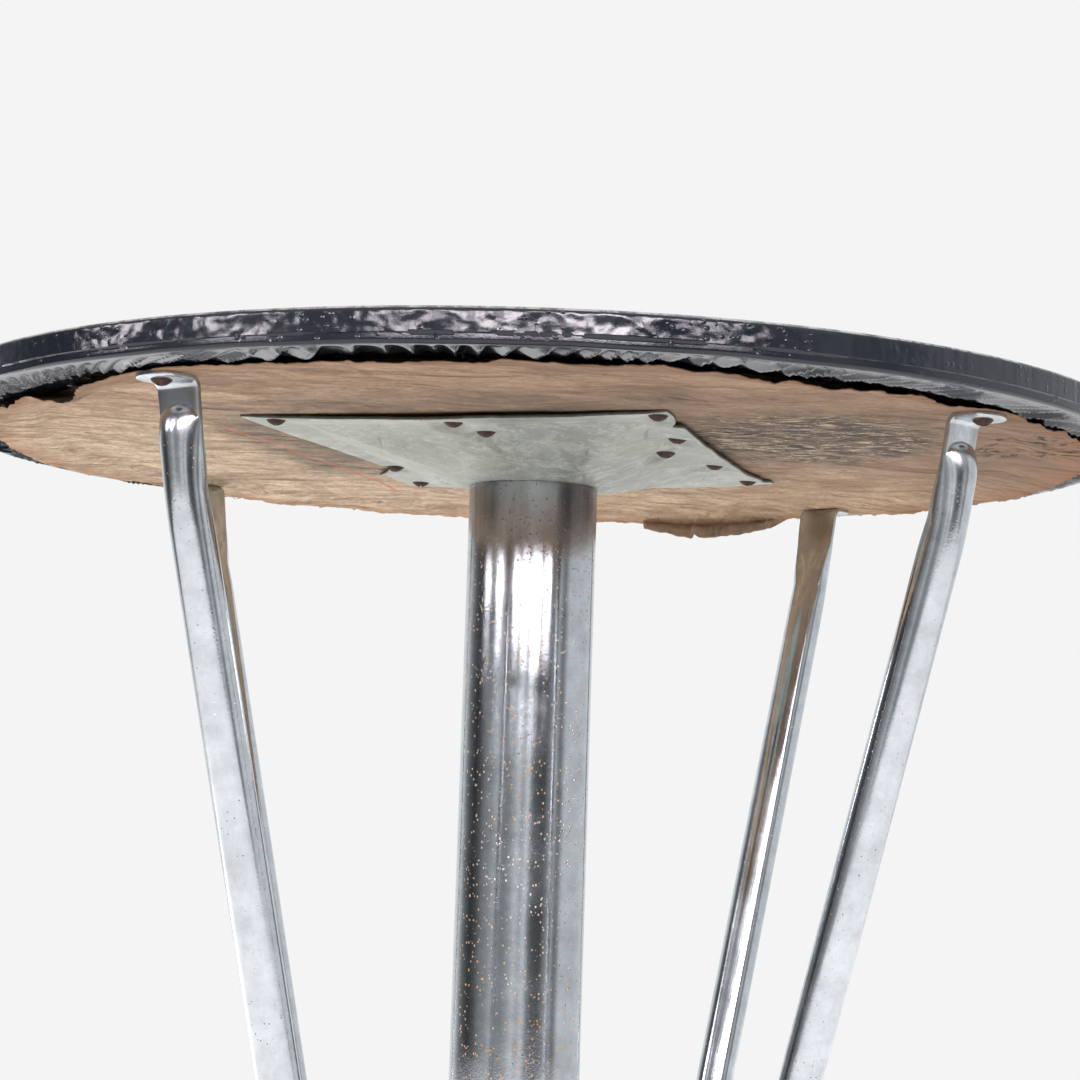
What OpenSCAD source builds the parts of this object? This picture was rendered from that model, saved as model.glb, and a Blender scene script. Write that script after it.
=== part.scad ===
// Round pedestal table: covered board top on a chrome column with four leaning tube struts.
// Millimetres. Z is up, the floor is z = 0, and the column stands on the Z axis.

/* [Overall] */
// Height from the floor to the top surface
table_h = 700; // [560:10:860]
// Diameter of the table top over its cover
top_d = 600; // [500:10:760]
// Diameter of the base over its trim band
base_d = 400; // [330:5:500]

/* [Top] */
// Thickness of the plywood board
board_t = 13; // [9:0.5:25]
// Thickness of the leatherette cover
cover_t = 0.8; // [0.5:0.1:2]
// Thickness of the turned-under hem, pleats included
hem_t = 1.8; // [1:0.1:3]
// How far the hem reaches in from the rim
hem_w = 40; // [34:1:60]
// Bevel on the board's two edges
rim_bevel = 2; // [1:0.25:4]
// Strip of hem left bare outside the dust cover
bare_hem_w = 25; // [18:1:30]
// Thickness of the paper dust cover
paper_t = 0.5; // [0.3:0.1:1]
// Number of tacks that hold the hem
hem_tacks = 24; // [12:2:40]
// Number of tacks that hold the dust cover
paper_tacks = 16; // [8:2:24]
// Head diameter of a tack
tack_head_d = 6; // [4:0.5:7]
// Length of a tack under its head
tack_len = 9; // [6:0.5:11]

/* [Mounting plate] */
// Width of the plate
plate_w = 214; // [180:1:260]
// Length of the plate
plate_l = 250; // [205:1:300]
// Thickness of the plate's sheet
plate_t = 1.5; // [1:0.1:3]
// Turn of the plate about the column
plate_turn = -20.4; // [-45:0.2:45]
// How far the plate's outline sits to one side of the column
plate_off = -4; // [-8:0.5:8]
// Depth of the pressed dish
dish_h = 18.8; // [17.5:0.1:30]
// Width of the flat border around the dish
border_w = 22; // [16:1:26]
// Margin of the flat seat around the column
seat_margin = 4; // [2:0.5:8]
// Edge to the centre of a corner screw
corner_inset = 12; // [9:0.5:15]
// Head diameter of the plate and strut screws
screw_head_d = 9.6; // [7:0.2:10.6]
// Shank diameter of the plate and strut screws
screw_d = 4; // [3:0.5:5]
// Length of the plate and strut screws under the head
screw_len = 11; // [8:0.5:12.5]

/* [Column] */
// Outside diameter of the column
column_d = 66; // [50:1:82]
// Wall of the column tube
column_wall = 1.5; // [1:0.25:3]
// Length of the two wooden plugs in the column
plug_l = 30; // [20:1:60]
// Diameter of the tie rod
rod_d = 10; // [8:1:12]
// Width across the corners of the rod's nuts
nut_d = 19; // [16:1:22]
// Thickness of the rod's nuts
nut_h = 8; // [6:0.5:10]
// Diameter of the rod's washers
washer_d = 28; // [24:1:32]
// Thickness of the rod's washers
washer_t = 2; // [1.5:0.25:3]

/* [Struts] */
// Outside diameter of a strut's tube
strut_d = 20; // [16:0.5:25]
// Wall of a strut's tube
strut_wall = 1.6; // [1:0.1:2.5]
// Rim of the top to the centre of a strut's top screw
strut_rim_inset = 35; // [32:1:60]
// Column axis to the centre of a strut's foot screw
strut_foot_r = 93; // [88:1:140]
// Lean of a strut's two pressed ends
end_lean = 10; // [0:1:14]
// Length of a pressed end, from its bend to the round tube
press_l = 48; // [36:1:70]
// Flat part of a pressed end, next to its bend
press_flat = 12; // [8:1:20]
// Inside radius of the bend to a tab
bend_r = 3; // [2:0.5:5]
// Bend to the centre of a tab's screw
tab_reach = 6; // [5.5:0.5:9]
// Turn of strut 1 about the column, front left
strut_1_turn = 227.4; // [215:0.2:235]
// Turn of strut 2 about the column, front right
strut_2_turn = 314.6; // [305:0.2:325]
// Turn of strut 3 about the column, back right
strut_3_turn = 43.5; // [35:0.2:55]
// Turn of strut 4 about the column, back left
strut_4_turn = 133.9; // [125:0.2:145]

/* [Base] */
// Thickness of the wooden base disc
base_t = 24; // [18:1:40]
// Round on the base disc's upper edge
base_edge = 4; // [2:0.5:8]
// Thickness of the chrome trim band
band_t = 1.2; // [0.8:0.2:2]
// Height of the chrome trim band
band_h = 16; // [8:1:20]
// Width of the foot flange beyond the column
flange_w = 22; // [20:1:30]
// Thickness of the foot flange
flange_t = 3; // [2:0.5:5]
// Height of the foot flange's collar
collar_h = 12; // [8:1:20]
// Outside diameter of the ballast ring
ballast_d = 280; // [200:5:320]
// Bore of the ballast ring
ballast_bore = 60; // [44:1:68]
// Thickness of the ballast ring
ballast_t = 9; // [6:0.5:10]
// Height of the rubber feet
foot_h = 14; // [13.5:0.5:20]
// Diameter of the rubber feet
foot_d = 34; // [28:1:40]
// Rim of the base to the centre of a foot
foot_inset = 30; // [28:1:40]

/* [Fits] */
// Gap around a screw, nail or rod in its hole
hole_gap = 0.15; // [0.1:0.05:0.4]
// Gap between the column and what goes in or around it
tube_gap = 0.2; // [0.1:0.05:0.5]

/* [Hidden] */
$fn = 96;
eps = 0.01;
top_r = top_d / 2;
board_r = top_r - cover_t;
hem_in_r = top_r - hem_w;
paper_r = top_r - bare_hem_w;
rim_z = table_h - cover_t - board_t - hem_t;
board_z = rim_z + hem_t;
paper_step_r = hem_in_r - paper_t;
paper_z = board_z - paper_t;
tack_r = (hem_in_r + paper_r) / 2;
tack_head_t = 0.7;
tack_d = 1.8;
plate_z = paper_z - plate_t;
seat_z = plate_z - dish_h;
seat_r = column_d / 2 + seat_margin;
screw_head_t = 2.6;
end_inset = 24;
end_inner_inset = 36;
side_inset = 18;
side_inner_inset = 30;
base_z = foot_h;
base_top = base_z + base_t;
base_r = base_d / 2 - band_t;
strut_top_r = top_r - strut_rim_inset;
tab_t = 2 * strut_wall;
tab_top_z = rim_z - paper_t;
foot_r = base_d / 2 - foot_inset;
flange_r = column_d / 2 + flange_w;
flange_screw_r = column_d / 2 + flange_w * 0.6;
ballast_screw_r = (ballast_d + ballast_bore) / 4;
small_head_d = 7;
small_d = 3.5;

// Screw places on the plate, [x, y, drop below the border], from the plate's own centre
plate_x = plate_w / 2;
plate_y = plate_l / 2;
seat_drop = 3;
PLATE_SCREWS = [
    [-plate_x + corner_inset, -plate_y + corner_inset, 0],
    [plate_x - corner_inset, -plate_y + corner_inset, 0],
    [plate_x - corner_inset, plate_y - corner_inset, 0],
    [-plate_x + corner_inset, plate_y - corner_inset, 0],
    [-plate_w * 0.04, -plate_y + end_inset, 0],
    [plate_w * 0.02, -plate_y + end_inner_inset, seat_drop],
    [plate_w * 0.04, plate_y - end_inset, 0],
    [-plate_w * 0.02, plate_y - end_inner_inset, seat_drop],
    [plate_x - side_inset, -plate_l * 0.17, 0],
    [plate_x - side_inner_inset, -plate_l * 0.06, seat_drop],
    [plate_x - side_inset, plate_l * 0.2, 0],
    [-plate_x + side_inset, plate_l * 0.2, 0],
];
// True where a screw's head reaches past the flat border
function on_slope(p) =
    min(plate_x - abs(p[0]), plate_y - abs(p[1])) + screw_head_d / 2 > border_w;
STRUT_TURNS = [strut_1_turn, strut_2_turn, strut_3_turn, strut_4_turn];

// ---- Shared helpers ----

// A screw or tack that points up, its head hanging below z = 0
module dome_screw(head_d, head_t, shank_d, len, slot) {
    dome_r = (head_d * head_d / 4 + head_t * head_t) / (2 * head_t);
    difference() {
        intersection() {
            translate([0, 0, dome_r - head_t]) sphere(r = dome_r);
            translate([0, 0, -head_t]) cylinder(d = head_d + 1, h = head_t);
        }
        if (slot > 0) translate([-head_d, -slot / 2, -head_t - 1]) cube([2 * head_d, slot, 1.9]);
    }
    translate([0, 0, -eps]) cylinder(d = shank_d, h = len * 0.75 + eps);
    translate([0, 0, len * 0.75]) cylinder(d1 = shank_d, d2 = 0.4, h = len * 0.25);
}

// The hole that a screw or tack goes into
module screw_hole(shank_d, len) {
    translate([0, 0, -eps]) cylinder(d = shank_d + 2 * hole_gap, h = len + hole_gap + eps);
}

// Its children at every plate screw, at the level of the paper
module at_plate_screws() {
    rotate([0, 0, plate_turn]) translate([plate_off, 0, 0])
        for (p = PLATE_SCREWS) translate([p[0], p[1], 0]) children();
}

// Its children at the middle of each strut tab, turned with the strut
module at_tabs(r) {
    for (a = STRUT_TURNS) rotate([0, 0, a]) translate([r, 0, 0]) children();
}

module ring_of(n, r, first = 0) {
    for (i = [0 : n - 1]) rotate([0, 0, first + i * 360 / n]) translate([r, 0, 0]) children();
}

// ---- Top ----

module top_board() {
    color("burlywood") difference() {
        rotate_extrude() polygon([
            [0, board_z], [board_r - rim_bevel, board_z], [board_r, board_z + rim_bevel],
            [board_r, board_z + board_t - rim_bevel], [board_r - rim_bevel, board_z + board_t],
            [0, board_z + board_t]]);
        translate([0, 0, board_z]) {
            ring_of(hem_tacks, tack_r, 180 / hem_tacks) screw_hole(tack_d, tack_len);
            ring_of(paper_tacks, tack_r, 180 / paper_tacks) screw_hole(tack_d, tack_len);
            at_plate_screws() screw_hole(screw_d, screw_len);
            at_tabs(strut_top_r) screw_hole(screw_d, screw_len);
        }
    }
}

module top_cover() {
    color("#17171b") difference() {
        rotate_extrude() polygon([
            [0, table_h], [top_r - rim_bevel, table_h], [top_r, table_h - rim_bevel],
            [top_r, rim_z + rim_bevel], [top_r - rim_bevel, rim_z], [hem_in_r, rim_z],
            [hem_in_r, board_z], [board_r - rim_bevel, board_z],
            [board_r, board_z + rim_bevel], [board_r, board_z + board_t - rim_bevel],
            [board_r - rim_bevel, board_z + board_t], [0, board_z + board_t]]);
        ring_of(hem_tacks, tack_r, 180 / hem_tacks) translate([0, 0, rim_z]) {
            translate([0, 0, -1]) cylinder(d = tack_head_d + 2 * hole_gap, h = tack_head_t + 1);
            screw_hole(tack_d, hem_t);
        }
        ring_of(paper_tacks, tack_r, 180 / paper_tacks) translate([0, 0, rim_z])
            screw_hole(tack_d, hem_t);
        at_tabs(strut_top_r) translate([0, 0, rim_z]) screw_hole(screw_d, hem_t);
    }
}

// Their heads lie flush in the hem, behind the dust cover
module cover_tacks() {
    color("dimgray") ring_of(hem_tacks, tack_r, 180 / hem_tacks) translate([0, 0, rim_z + tack_head_t])
        dome_screw(tack_head_d, tack_head_t, tack_d, tack_len, 0);
}

module dust_cover() {
    color("#a98660") difference() {
        rotate_extrude() polygon([
            [0, paper_z], [paper_step_r - paper_t, paper_z], [paper_step_r - paper_t, tab_top_z],
            [paper_r, tab_top_z], [paper_r, rim_z], [paper_step_r, rim_z],
            [paper_step_r, board_z], [0, board_z]]);
        translate([0, 0, tab_top_z - 1]) {
            ring_of(paper_tacks, tack_r, 180 / paper_tacks) screw_hole(tack_d, 2 + hem_t);
            at_plate_screws() screw_hole(screw_d, 3 + hem_t);
            at_tabs(strut_top_r) screw_hole(screw_d, 2 + hem_t);
        }
    }
}

module dust_cover_tacks() {
    color("#3a332c") ring_of(paper_tacks, tack_r, 180 / paper_tacks) translate([0, 0, tab_top_z])
        dome_screw(tack_head_d * 0.75, tack_head_t, tack_d, tack_len, 0);
}

// ---- Mounting plate ----

// The dish's outer face, from the border's inner edge down to the round seat
module dish_body() {
    hull() {
        translate([plate_off - plate_x + border_w, -plate_y + border_w, plate_z])
            cube([plate_w - 2 * border_w, plate_l - 2 * border_w, eps]);
        translate([0, 0, seat_z]) cylinder(r = seat_r, h = eps, $fn = 64);
    }
}

module mounting_plate() {
    color("#9aa39c") rotate([0, 0, plate_turn]) difference() {
        union() {
            translate([plate_off - plate_x, -plate_y, plate_z]) cube([plate_w, plate_l, plate_t]);
            difference() {
                dish_body();
                translate([0, 0, plate_t]) dish_body();
            }
            translate([0, 0, seat_z]) cylinder(r = seat_r, h = plate_t);
            // Pressed seats, so that each screw head bears on a level spot
            for (p = PLATE_SCREWS) if (on_slope(p)) translate([plate_off + p[0], p[1], plate_z - p[2]])
                cylinder(d = screw_head_d + 3, h = p[2] + plate_t);
        }
        // Opens the dish behind the flat border
        difference() {
            translate([0, 0, plate_t]) hull() {
                dish_body();
                translate([0, 0, plate_t]) dish_body();
            }
            for (p = PLATE_SCREWS) if (on_slope(p)) translate([plate_off + p[0], p[1], seat_z])
                cylinder(d = screw_head_d + 3, h = dish_h + plate_t);
        }
        for (p = PLATE_SCREWS) translate([plate_off + p[0], p[1], plate_z - p[2] - 1])
            cylinder(d = screw_d + 2 * hole_gap, h = p[2] + plate_t + 2);
        // Keeps the slope clear of each head
        for (p = PLATE_SCREWS) if (on_slope(p)) translate([plate_off + p[0], p[1], seat_z - 1])
            cylinder(d = screw_head_d + 1, h = plate_z - p[2] - seat_z + 1);
        translate([0, 0, seat_z - 1]) cylinder(d = rod_d + 2 * hole_gap, h = plate_t + 2);
    }
}

module plate_screws() {
    color("#4a2a1e") rotate([0, 0, plate_turn]) for (i = [0 : len(PLATE_SCREWS) - 1]) {
        p = PLATE_SCREWS[i];
        depth = plate_t + p[2] + paper_t;
        translate([plate_off + p[0], p[1], plate_z - p[2]]) rotate([0, 0, i * 37])
            dome_screw(screw_head_d, screw_head_t, screw_d, depth + screw_len, 1.2);
    }
}

// ---- Column and tie rod ----

module column_tube() {
    color("#c9cdd0") translate([0, 0, base_top]) difference() {
        cylinder(d = column_d, h = seat_z - base_top);
        translate([0, 0, -1]) cylinder(d = column_d - 2 * column_wall, h = seat_z - base_top + 2);
    }
}

module column_plug() {
    difference() {
        cylinder(d = column_d - 2 * column_wall - 2 * tube_gap, h = plug_l);
        translate([0, 0, -1]) cylinder(d = rod_d + 2 * hole_gap, h = plug_l + 2);
    }
}

module column_top_plug() {
    color("peru") translate([0, 0, seat_z - plug_l]) column_plug();
}

module column_bottom_plug() {
    color("peru") translate([0, 0, base_top]) column_plug();
}

rod_out = 2;
rod_low_z = base_z - washer_t - nut_h - rod_out;
rod_high_z = seat_z + plate_t + washer_t + nut_h + rod_out;

module tie_rod() {
    color("gray") translate([0, 0, rod_low_z]) cylinder(d = rod_d, h = rod_high_z - rod_low_z);
}

module rod_washer() {
    difference() {
        cylinder(d = washer_d, h = washer_t);
        translate([0, 0, -1]) cylinder(d = rod_d + 2 * hole_gap, h = washer_t + 2);
    }
}

// Its thread is drawn to the rod's own diameter, so the nut grips it
module rod_nut() {
    difference() {
        cylinder(d = nut_d, h = nut_h, $fn = 6);
        translate([0, 0, -1]) cylinder(d = rod_d, h = nut_h + 2);
    }
}

module tie_rod_top_washer() {
    color("silver") translate([0, 0, seat_z + plate_t]) rod_washer();
}

module tie_rod_top_nut() {
    color("silver") translate([0, 0, seat_z + plate_t + washer_t]) rod_nut();
}

module tie_rod_bottom_washer() {
    color("silver") translate([0, 0, base_z - washer_t]) rod_washer();
}

module tie_rod_bottom_nut() {
    color("silver") translate([0, 0, base_z - washer_t - nut_h]) rod_nut();
}

// ---- Struts, drawn leaning out along +X ----

// The middle of the bend, and where each pressed end turns into round tube
mid_r = bend_r + tab_t / 2;
cap_t = 3;
// The bend is drawn this much slimmer than what laps into it, so that no faces coincide
slim = 0.05;
lap = 0.5;
top_bend = [strut_top_r - tab_reach, tab_top_z - tab_t - bend_r];
foot_bend = [strut_foot_r - tab_reach, base_top + tab_t + bend_r];
top_end = top_bend + [-cos(end_lean), sin(end_lean)] * mid_r;
foot_end = foot_bend + [-cos(end_lean), sin(end_lean)] * mid_r;
tube_high = top_end + [-sin(end_lean), -cos(end_lean)] * press_l;
tube_low = foot_end + [sin(end_lean), cos(end_lean)] * press_l;
tube_lean = atan2(tube_high[0] - tube_low[0], tube_high[1] - tube_low[1]);
tube_l = norm(tube_high - tube_low);

// A flat tab with a round end, from its lap into the bend to its screw and on to its tip
module tab() {
    difference() {
        union() {
            translate([-lap, -strut_d / 2, 0]) cube([tab_reach + lap, strut_d, tab_t]);
            translate([tab_reach, 0, 0]) cylinder(d = strut_d, h = tab_t);
        }
        translate([-lap - strut_d, -strut_d / 2 - 1, -1]) cube([strut_d, strut_d + 2, tab_t + 2]);
        translate([tab_reach, 0, -1]) cylinder(d = screw_d + 2 * hole_gap, h = tab_t + 2);
    }
}

// The bend between a tab and a pressed end, swept about the Y axis
module tab_bend(first, sweep) {
    rotate([90, 0, 0]) rotate([0, 0, first]) rotate_extrude(angle = sweep)
        translate([bend_r + slim, -strut_d / 2 + slim])
            square([tab_t - 2 * slim, strut_d - 2 * slim]);
}

// A thin slice of a pressed end, part-way along it and part-way to round
module press_slice(along, thick) {
    translate([0, 0, press_flat + (press_l - press_flat) * along])
        scale([thick / strut_d, 0.99, 1]) cylinder(d = strut_d, h = 0.1, $fn = 36);
}

// A pressed end: flat next to the bend, and then opening to the round tube. Z points to the tube
module pressed_end(turn) {
    half_thick = tab_t + (strut_d - tab_t) * 0.55;
    translate([-tab_t / 2, -strut_d / 2, -lap]) cube([tab_t, strut_d, press_flat + lap]);
    hull() {
        translate([-tab_t * 0.495, -strut_d * 0.495, press_flat - 1])
            cube([tab_t * 0.99, strut_d * 0.99, 1]);
        press_slice(0.4, half_thick);
    }
    hull() {
        press_slice(0.4, half_thick);
        translate([0, 0, press_l]) rotate([0, turn, 0])
            cylinder(d = strut_d * 0.99, h = cap_t / 2, $fn = 36);
    }
}

module strut() {
    color("#d2d6d9") {
        translate([top_bend[0], 0, top_bend[1] + bend_r]) tab();
        translate([top_bend[0], 0, top_bend[1]]) tab_bend(90, 90 - end_lean);
        translate([top_end[0], 0, top_end[1]]) rotate([0, 180 + end_lean, 0])
            pressed_end(tube_lean - end_lean);
        translate([tube_low[0], 0, tube_low[1]]) rotate([0, tube_lean, 0]) difference() {
            cylinder(d = strut_d, h = tube_l);
            translate([0, 0, cap_t]) cylinder(d = strut_d - 2 * strut_wall, h = tube_l - 2 * cap_t);
        }
        translate([foot_end[0], 0, foot_end[1]]) rotate([0, end_lean, 0])
            pressed_end(tube_lean - end_lean);
        translate([foot_bend[0], 0, foot_bend[1]]) tab_bend(180 - end_lean, 90 + end_lean);
        translate([foot_bend[0], 0, base_top]) tab();
    }
}

module strut_1() { rotate([0, 0, strut_1_turn]) strut(); }
module strut_2() { rotate([0, 0, strut_2_turn]) strut(); }
module strut_3() { rotate([0, 0, strut_3_turn]) strut(); }
module strut_4() { rotate([0, 0, strut_4_turn]) strut(); }

module strut_top_screws() {
    color("#4a2a1e") at_tabs(strut_top_r) translate([0, 0, tab_top_z - tab_t])
        dome_screw(screw_head_d, screw_head_t, screw_d, screw_len + tab_t, 1.2);
}

module strut_foot_screws() {
    color("#4a2a1e") at_tabs(strut_foot_r) translate([0, 0, base_top + tab_t]) rotate([180, 0, 0])
        dome_screw(screw_head_d, screw_head_t, screw_d, screw_len + tab_t, 1.2);
}

// ---- Base ----

module column_foot_flange() {
    bore_r = column_d / 2 + tube_gap;
    color("#c9cdd0") translate([0, 0, base_top]) difference() {
        rotate_extrude() polygon([
            [bore_r, 0], [flange_r, 0], [flange_r, flange_t - 1], [flange_r - 1, flange_t],
            [bore_r + flange_t + 1, flange_t], [bore_r + flange_t, flange_t + 1],
            [bore_r + flange_t, collar_h - 1], [bore_r + flange_t - 1, collar_h],
            [bore_r, collar_h]]);
        ring_of(4, flange_screw_r) translate([0, 0, -1])
            cylinder(d = small_d + 2 * hole_gap, h = flange_t + 2);
    }
}

module flange_screws() {
    color("silver") ring_of(4, flange_screw_r) translate([0, 0, base_top + flange_t])
        rotate([180, 0, 0]) dome_screw(small_head_d, 2, small_d, 14 + flange_t, 1);
}

module base_disc() {
    color("#1b1a1a") difference() {
        translate([0, 0, base_z]) rotate_extrude() polygon([
            [0, 0], [base_r - 1, 0], [base_r, 1], [base_r, base_t - base_edge],
            [base_r - base_edge * 0.3, base_t - base_edge * 0.3],
            [base_r - base_edge, base_t], [0, base_t]]);
        translate([0, 0, base_z - 1]) cylinder(d = rod_d + 2 * hole_gap, h = base_t + 2);
        translate([0, 0, base_z]) {
            ring_of(4, ballast_screw_r) screw_hole(small_d, 14);
            ring_of(4, foot_r, 45) screw_hole(small_d, 14);
        }
        translate([0, 0, base_top]) rotate([180, 0, 0]) {
            at_tabs(strut_foot_r) screw_hole(screw_d, 0);
            ring_of(4, flange_screw_r) screw_hole(small_d, 14);
        }
        at_tabs(strut_foot_r) translate([0, 0, base_top]) rotate([180, 0, 0])
            screw_hole(screw_d, screw_len);
    }
}

module base_trim_band() {
    color("#c9cdd0") translate([0, 0, base_z + 2]) difference() {
        cylinder(d = base_d, h = band_h);
        translate([0, 0, -1]) cylinder(r = base_r, h = band_h + 2);
    }
}

module ballast_ring() {
    color("#33363a") translate([0, 0, base_z - ballast_t]) difference() {
        cylinder(d = ballast_d, h = ballast_t);
        translate([0, 0, -1]) cylinder(d = ballast_bore, h = ballast_t + 2);
        ring_of(4, ballast_screw_r) {
            translate([0, 0, -1]) cylinder(d = small_d + 2 * hole_gap, h = ballast_t + 2);
            translate([0, 0, -1]) cylinder(d = small_head_d + 1, h = 3.5);
        }
    }
}

module ballast_screws() {
    color("silver") ring_of(4, ballast_screw_r) translate([0, 0, base_z - ballast_t + 2.5])
        dome_screw(small_head_d, 2, small_d, 10 + ballast_t - 2.5, 1);
}

foot_recess = 6;

module base_feet() {
    color("#222222") ring_of(4, foot_r, 45) difference() {
        cylinder(d1 = foot_d - 4, d2 = foot_d, h = foot_h);
        translate([0, 0, -1]) cylinder(d = small_head_d + 2, h = foot_recess + 1);
        translate([0, 0, -1]) cylinder(d = small_d + 2 * hole_gap, h = foot_h + 2);
    }
}

module feet_screws() {
    color("silver") ring_of(4, foot_r, 45) translate([0, 0, foot_recess])
        dome_screw(small_head_d, 2, small_d, 10 + foot_h - foot_recess, 1);
}

top_board();
top_cover();
cover_tacks();
dust_cover();
dust_cover_tacks();
mounting_plate();
plate_screws();
column_tube();
column_top_plug();
column_bottom_plug();
tie_rod();
tie_rod_top_washer();
tie_rod_top_nut();
tie_rod_bottom_washer();
tie_rod_bottom_nut();
strut_1();
strut_2();
strut_3();
strut_4();
strut_top_screws();
strut_foot_screws();
column_foot_flange();
flange_screws();
base_disc();
base_trim_band();
ballast_ring();
ballast_screws();
base_feet();
feet_screws();
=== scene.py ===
"""Looks for the round chrome pedestal table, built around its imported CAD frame. Metres, Z up."""

import math

import bmesh
import bpy
import numpy as np
from mathutils import Matrix, Vector, noise


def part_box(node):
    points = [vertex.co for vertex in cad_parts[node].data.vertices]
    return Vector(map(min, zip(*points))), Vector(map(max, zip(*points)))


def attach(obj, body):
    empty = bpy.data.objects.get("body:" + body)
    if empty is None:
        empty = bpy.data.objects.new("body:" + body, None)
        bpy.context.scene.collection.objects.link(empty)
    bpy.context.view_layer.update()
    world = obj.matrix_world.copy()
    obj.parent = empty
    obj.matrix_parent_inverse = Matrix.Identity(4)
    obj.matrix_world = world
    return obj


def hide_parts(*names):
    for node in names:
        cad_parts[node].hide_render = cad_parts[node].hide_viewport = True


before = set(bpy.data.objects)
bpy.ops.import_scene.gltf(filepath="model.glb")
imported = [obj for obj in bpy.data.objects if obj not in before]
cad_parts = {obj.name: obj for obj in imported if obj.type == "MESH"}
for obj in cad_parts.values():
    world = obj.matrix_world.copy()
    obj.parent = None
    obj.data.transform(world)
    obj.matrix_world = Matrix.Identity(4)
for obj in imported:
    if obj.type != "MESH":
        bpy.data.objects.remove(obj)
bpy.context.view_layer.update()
MM = 0.001


def low(node):
    return Vector(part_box(node)[0])


def high(node):
    return Vector(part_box(node)[1])


# ---------------------------------------------------------------- sizes

TOP_R = round(high("top_cover").x, 3)
TOP_Z = high("top_cover").z
RIM_Z = low("top_cover").z
BOARD_Z = low("top_board").z
PAPER_R = round(high("dust_cover").x, 3)
PAPER_Z = low("dust_cover").z
COLUMN_R = high("column_tube").x
COLUMN_TOP = high("column_tube").z
BASE_TOP = low("column_tube").z
BASE_Z = low("base_disc").z
PLATE_TOP = high("mounting_plate").z

COVER_T = 0.8 * MM
HEM_IN_R = TOP_R - 40 * MM
PLATE_W, PLATE_L, PLATE_T = 214 * MM, 250 * MM, 1.5 * MM
PLATE_TURN, PLATE_OFF = math.radians(-20.4), -4 * MM
PLATE_BORDER, SEAT_MARGIN = 22 * MM, 4 * MM
SCREW_DROP = 3 * MM
STRUT_R, COLUMN_WALL = 10 * MM, 1.5 * MM
TAB_T, BEND_R, TAB_REACH, PRESS_L = 3.2 * MM, 3 * MM, 6 * MM, 48 * MM
END_LEAN = math.radians(10)
STRUT_TOP_R, STRUT_FOOT_R = TOP_R - 35 * MM, 93 * MM
STRUT_TURNS = {"strut_1": 227.4, "strut_2": 314.6, "strut_3": 43.5, "strut_4": 133.9}


# ---------------------------------------------------------------- mesh helpers


def add_mesh(name, verts, faces, material, replaces=(), smooth_angle=40):
    mesh = bpy.data.meshes.new(name)
    mesh.from_pydata([tuple(v) for v in verts], [], faces)
    mesh.validate()
    obj = bpy.data.objects.new(name, mesh)
    bpy.context.scene.collection.objects.link(obj)
    mesh.materials.append(material)
    smooth(obj, smooth_angle)
    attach(obj, "root")
    if replaces:
        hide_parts(*replaces)
    return obj


def smooth(obj, angle=40):
    bm = bmesh.new()
    bm.from_mesh(obj.data)
    bmesh.ops.recalc_face_normals(bm, faces=bm.faces)
    limit = math.radians(angle)
    for e in bm.edges:
        e.smooth = len(e.link_faces) != 2 or e.calc_face_angle(0) < limit
    for f in bm.faces:
        f.smooth = True
    bm.to_mesh(obj.data)
    bm.free()


def thicken(obj, thickness, offset):
    mod = obj.modifiers.new("thickness", "SOLIDIFY")
    mod.thickness, mod.offset, mod.use_even_offset = thickness, offset, False
    return mod


def quads(rows, cols, wrap_cols=True, wrap_rows=False, first=0):
    out = []
    for i in range(rows if wrap_rows else rows - 1):
        for j in range(cols if wrap_cols else cols - 1):
            a, b = first + i * cols, first + (i + 1) % rows * cols
            k = (j + 1) % cols
            out.append((a + j, a + k, b + k, b + j))
    return out


def lathe(name, profile, material, segments=192, replaces=(), angle=35):
    """A turned piece: a closed outline of (radius, height) points, swept round a vertical axis."""
    verts = []
    for r, z in profile:
        for j in range(segments):
            a = 2 * math.pi * j / segments
            verts.append((r * math.cos(a), r * math.sin(a), z))
    faces = quads(len(profile), segments, wrap_rows=True)
    return add_mesh(name, verts, faces, material, replaces, angle)


def rounded(profile, radius, steps=4):
    """The same closed outline with every corner rounded."""
    out = []
    n = len(profile)
    for i in range(n):
        p = Vector(profile[i]).to_2d()
        a, b = Vector(profile[i - 1]).to_2d() - p, Vector(profile[(i + 1) % n]).to_2d() - p
        r = min(radius, a.length * 0.45, b.length * 0.45)
        start, end = p + a.normalized() * r, p + b.normalized() * r
        for k in range(steps + 1):
            t = k / steps
            out.append(tuple((1 - t) ** 2 * start + 2 * t * (1 - t) * p + t * t * end))
    return out


def step(x, edge0, edge1):
    t = min(max((x - edge0) / (edge1 - edge0), 0), 1)
    return t * t * (3 - 2 * t)


def bump_at(x, centre, width):
    return math.exp(-((x - centre) / width) ** 2)


def angle_from(a, b):
    return abs((a - b + 180) % 360 - 180)


def wave(*place):
    return noise.noise(Vector(place))


# ---------------------------------------------------------------- materials


def add_node(tree, kind, inputs=None, **props):
    """A new node, with each input either linked to a socket or set to a value."""
    node = tree.nodes.new(kind)
    for key, value in props.items():
        setattr(node, key, value)
    for key, value in (inputs or {}).items():
        if isinstance(value, bpy.types.NodeSocket):
            tree.links.new(value, node.inputs[key])
        else:
            node.inputs[key].default_value = value
    return node


def set_stops(ramp_node, stops):
    elements = ramp_node.color_ramp.elements
    while len(elements) < len(stops):
        elements.new(0.5)
    for element, (at, colour) in zip(elements, stops):
        element.position, element.color = at, (*colour, 1)


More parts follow.
